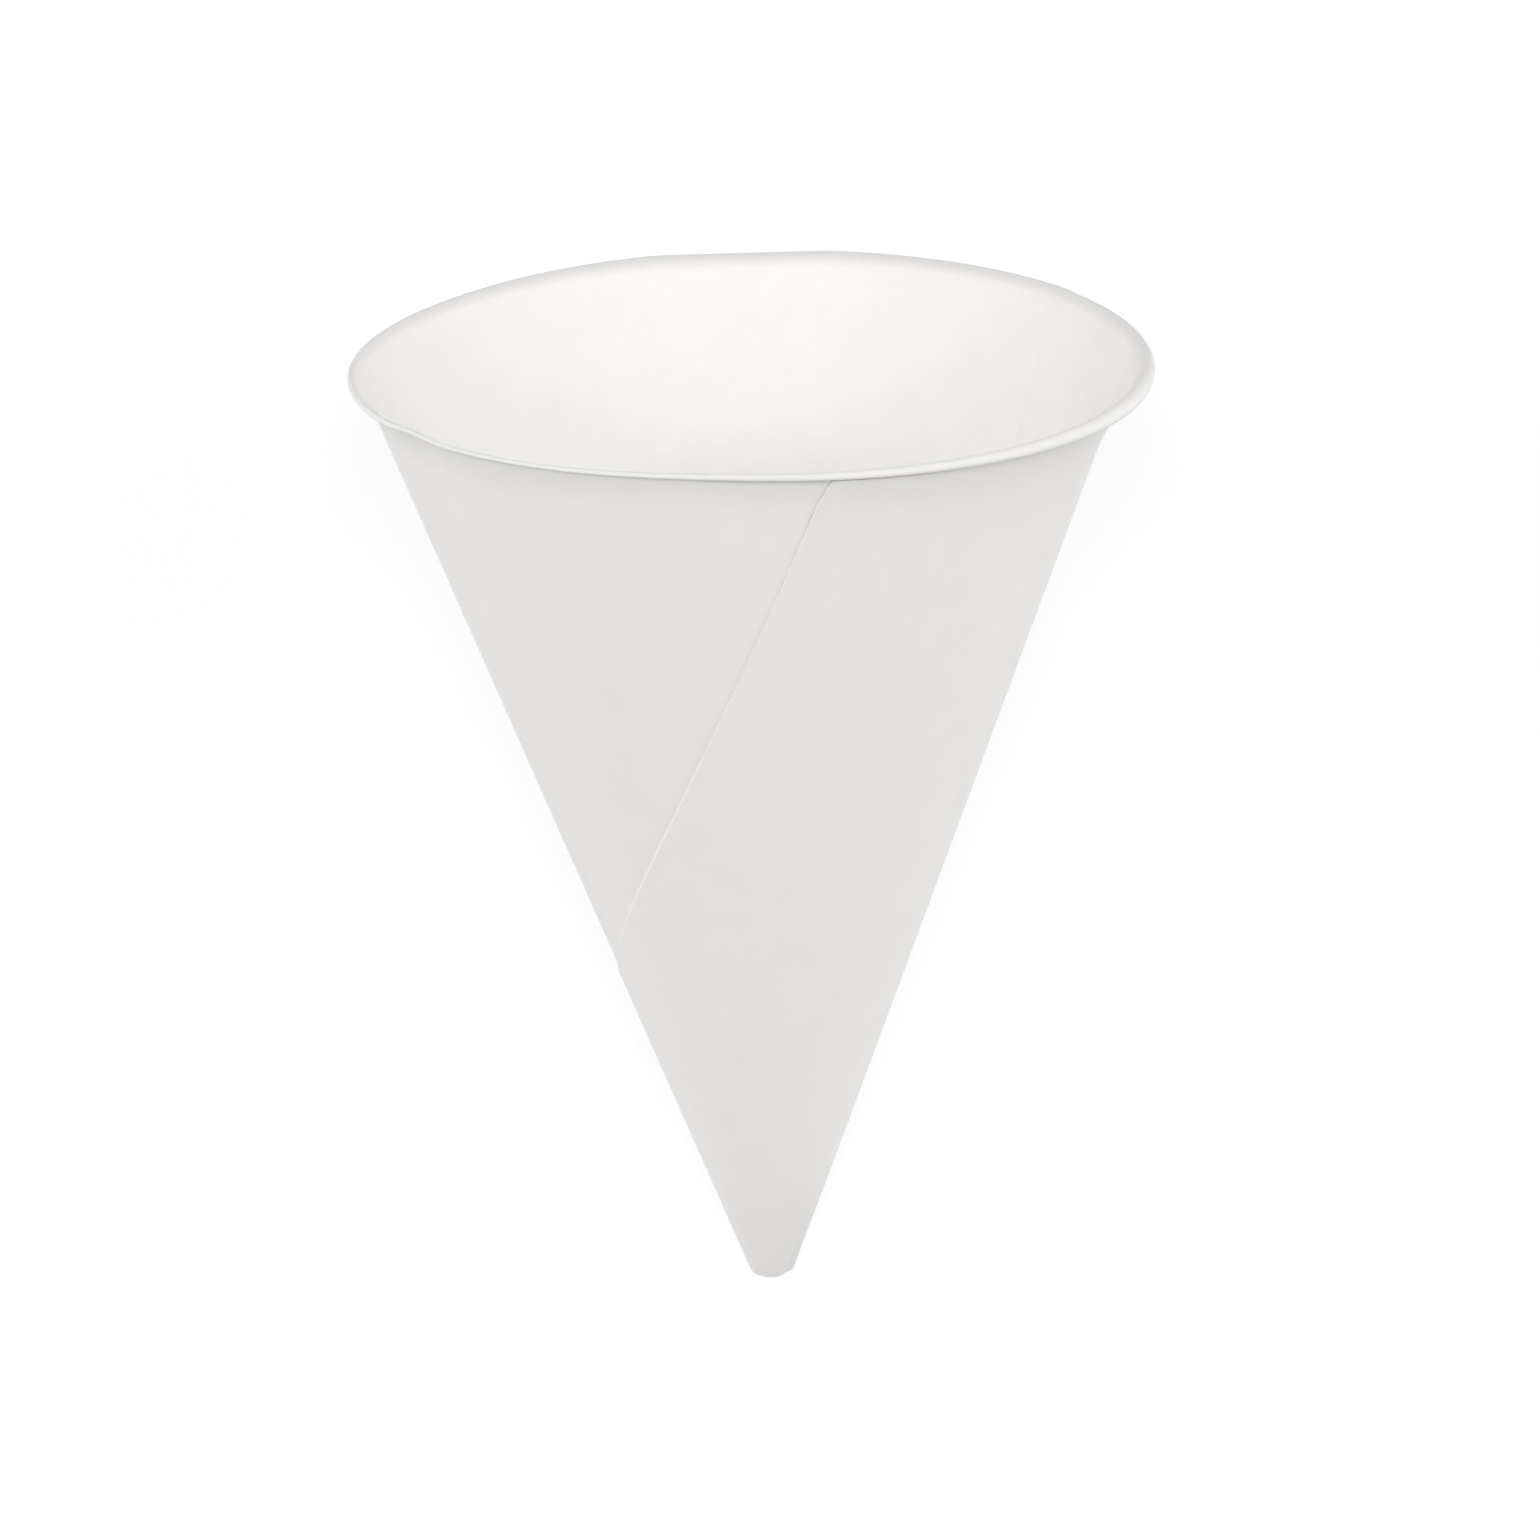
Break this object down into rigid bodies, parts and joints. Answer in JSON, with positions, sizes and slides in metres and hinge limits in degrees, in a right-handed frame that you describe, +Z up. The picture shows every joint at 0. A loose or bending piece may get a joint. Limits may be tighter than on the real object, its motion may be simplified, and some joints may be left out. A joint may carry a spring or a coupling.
{
  "type": "cone paper cup",
  "caption": "Cone-shaped paper drinking cup with a rolled lip and a blunt folded point, wound from one glued sheet, lying on its side.",
  "frame": {"origin": "middle of the cup's bounding box, on the surface it lies on", "axes": "+Z up from the surface, +Y from the point towards the mouth, +X to the right seen from above with the mouth at the top"},
  "size_m": [0.0739, 0.0992, 0.0685],
  "materials": {
    "cup_paper": "matte"
  },
  "bodies": {
    "root": {"cone_cup": "cup_paper"}
  },
  "joints": []
}
